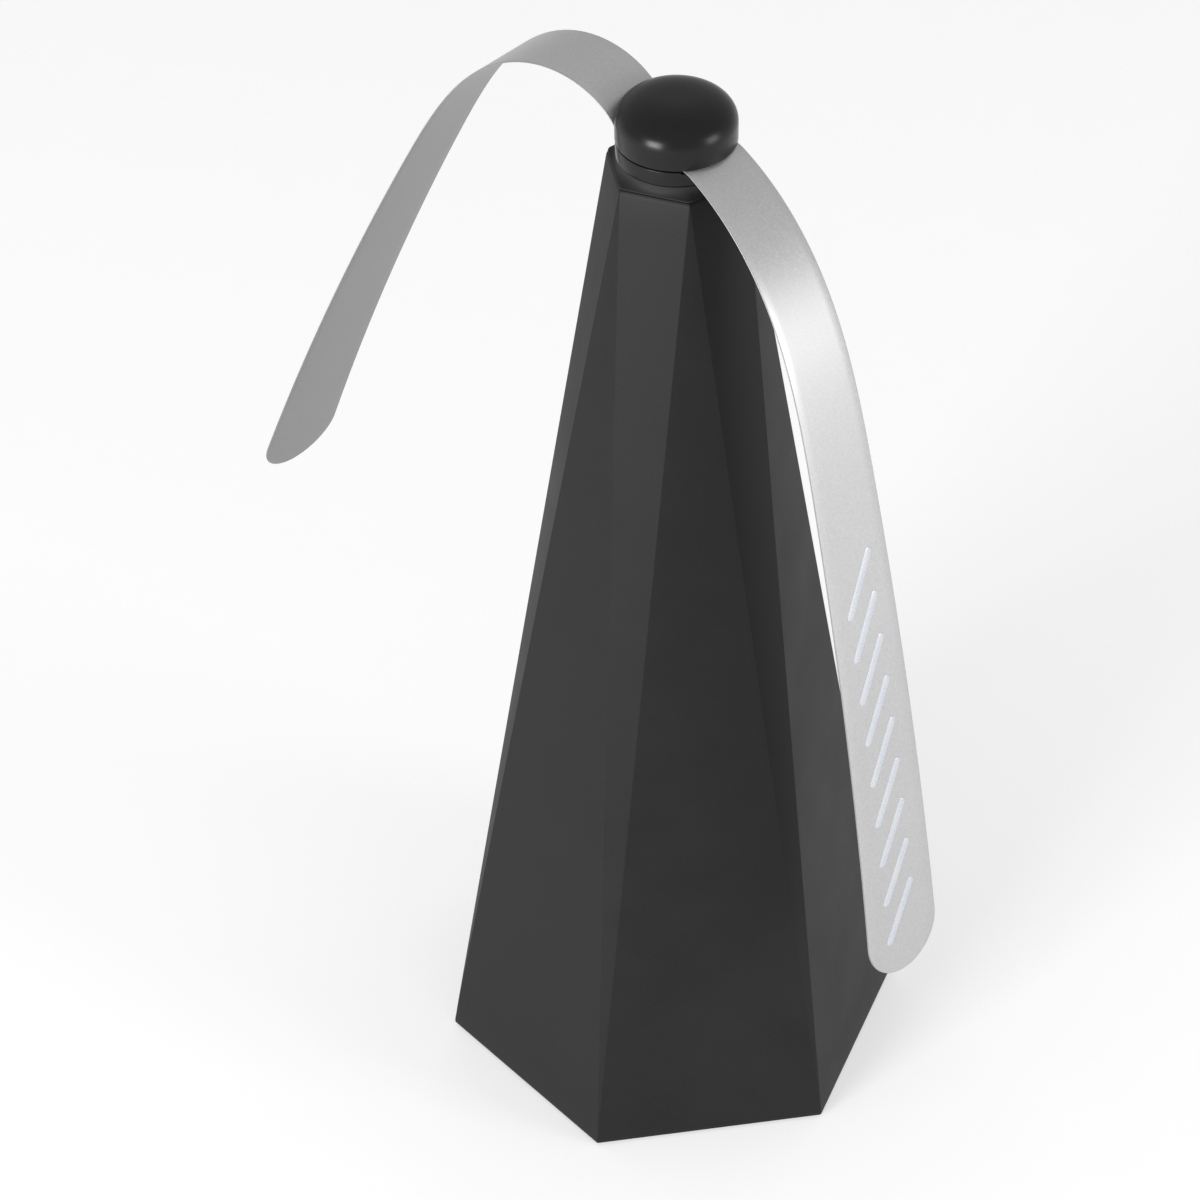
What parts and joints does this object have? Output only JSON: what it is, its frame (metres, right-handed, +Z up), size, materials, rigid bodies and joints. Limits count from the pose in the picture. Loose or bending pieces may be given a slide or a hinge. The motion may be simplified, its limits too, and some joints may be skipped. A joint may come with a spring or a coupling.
{
  "type": "table-top fly-repelling fan",
  "caption": "Faceted conical tower with a geared motor inside and a domed rotating hub that carries two soft drooping blades.",
  "frame": {"origin": "centre of the anti-slip ring's lower face, on the tower's axis", "axes": "+Z up along the tower; two corners of the base lie on X, and the flats face Y"},
  "size_m": [0.1281, 0.1498, 0.2424],
  "materials": {
    "tower_plastic": "fine matte grain, soft-touch",
    "collar_plastic": "satin moulded",
    "base_plastic": "matte moulded",
    "hub_plastic": "satin moulded",
    "blade_film": "satin silver film",
    "foil": "holographic foil",
    "foot_rubber": "matte",
    "screw_steel": "plated",
    "shaft_steel": "ground",
    "spring_steel": "nickel plated",
    "cell_wrap": "plain printed sleeve",
    "switch_metal": "plated",
    "knob_plastic": "matte moulded",
    "wire_red": "PVC insulation",
    "wire_black": "PVC insulation",
    "can_steel": "zinc plated",
    "endcap_plastic": "moulded nylon",
    "brass": "turned",
    "copper": "turned",
    "magnet": "sintered ferrite",
    "winding": "laminations with enamelled wire",
    "gear_plastic": "moulded acetal",
    "frame_plastic": "moulded ABS"
  },
  "bodies": {
    "tower": {"body_shell": "tower_plastic", "top_collar": "collar_plastic", "base_plate": "base_plastic", "foot_ring": "foot_rubber", "base_screws": "screw_steel", "cell_1": "cell_wrap", "cell_2": "cell_wrap", "battery_springs": "spring_steel", "battery_contacts": "spring_steel", "switch_body": "switch_metal", "switch_screws": "screw_steel", "lead_plus": "wire_red", "lead_minus": "wire_black", "lead_switch": "wire_black", "motor_can": "can_steel", "motor_endcap": "endcap_plastic", "motor_terminals": "brass", "motor_magnets": "magnet", "gearbox_base": "frame_plastic", "gearbox_cover": "frame_plastic", "gearbox_screws": "screw_steel", "motor_screws": "screw_steel", "idler_axle": "shaft_steel", "lower_bush": "brass", "upper_bush": "brass"},
    "hub_assembly": {"output_gear": "gear_plastic", "output_shaft": "shaft_steel", "thrust_washer": "gear_plastic", "hub_base": "hub_plastic", "hub_cap": "hub_plastic", "blade_a_root": "blade_film", "blade_b_root": "blade_film"},
    "rotor": {"motor_shaft": "shaft_steel", "motor_armature": "winding", "commutator": "copper", "pinion": "gear_plastic"},
    "idler": {"idler_gear": "gear_plastic"},
    "leaf_a": {"blade_a": "blade_film", "stripes_a": "foil"},
    "leaf_b": {"blade_b": "blade_film", "stripes_b": "foil"},
    "door": {"battery_door": "base_plastic"},
    "slider": {"switch_knob": "knob_plastic"}
  },
  "joints": [
    {"name": "hub_spin", "type": "hinge", "parent": "tower", "child": "hub_assembly", "pos_m": [0, 0, 0.2322], "axis": [0, 0, 1], "continuous": true},
    {"name": "idler_spin", "type": "hinge", "parent": "tower", "child": "idler", "pos_m": [0.0095, 0, 0.156], "axis": [0, 0, 1], "continuous": true},
    {"name": "rotor_spin", "type": "hinge", "parent": "tower", "child": "rotor", "pos_m": [0, 0, 0.14], "axis": [0, 0, 1], "continuous": true},
    {"name": "blade_a_flex", "type": "hinge", "parent": "hub_assembly", "child": "leaf_a", "pos_m": [-0.00837, 0.00987, 0.23794], "axis": [0.7627, 0.6468, 0], "range_deg": [-25, 15], "stiffness_Nm_per_rad": 0.01, "springref_deg": 3.44},
    {"name": "blade_b_flex", "type": "hinge", "parent": "hub_assembly", "child": "leaf_b", "pos_m": [0.00718, -0.01053, 0.23107], "axis": [-0.8261, -0.5635, 0], "range_deg": [-6, 45], "stiffness_Nm_per_rad": 0.01, "springref_deg": 2.29},
    {"name": "door_swing", "type": "hinge", "parent": "tower", "child": "door", "pos_m": [-0.03015, 0, 0.0016], "axis": [0, 1, 0], "range_deg": [0, 80]},
    {"name": "switch_slide", "type": "slide", "parent": "tower", "child": "slider", "axis": [1, 0, 0], "range_m": [0, 0.002]}
  ],
  "couplings": [
    {"joint": "idler_spin", "follows": "hub_spin", "ratio": -3.75},
    {"joint": "rotor_spin", "follows": "hub_spin", "ratio": 14.062}
  ]
}
